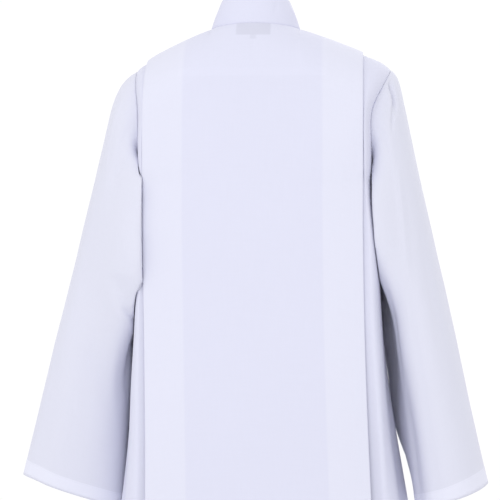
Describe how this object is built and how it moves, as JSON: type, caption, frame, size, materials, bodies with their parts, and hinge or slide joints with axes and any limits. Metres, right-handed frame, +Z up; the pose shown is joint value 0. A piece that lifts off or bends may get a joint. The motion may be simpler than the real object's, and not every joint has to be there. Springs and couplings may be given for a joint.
{
  "type": "alb robe",
  "caption": "Long white alb robe in its worn form, with a stand collar, deep pressed pleats and wide set-in sleeves.",
  "frame": {"origin": "middle of the neck, level with the two points where the shoulder seams meet the collar", "axes": "+Z up, -Y the way the wearer faces, +X the wearer's left"},
  "size_m": [0.8098, 0.4009, 1.4888],
  "materials": {
    "cloth": "smooth light polyester cloth, cool white",
    "label": "plain woven label, blank",
    "button": "polished white"
  },
  "bodies": {
    "root": {"back": "cloth", "front_left": "cloth", "front_right": "cloth", "sleeve_left": "cloth", "sleeve_right": "cloth", "collar": "cloth", "neck_label": "label", "size_label": "label", "button_1": "button", "button_2": "button", "button_3": "button", "button_4": "button", "button_5": "button", "button_6": "button", "button_7": "button", "button_8": "button"}
  },
  "joints": []
}
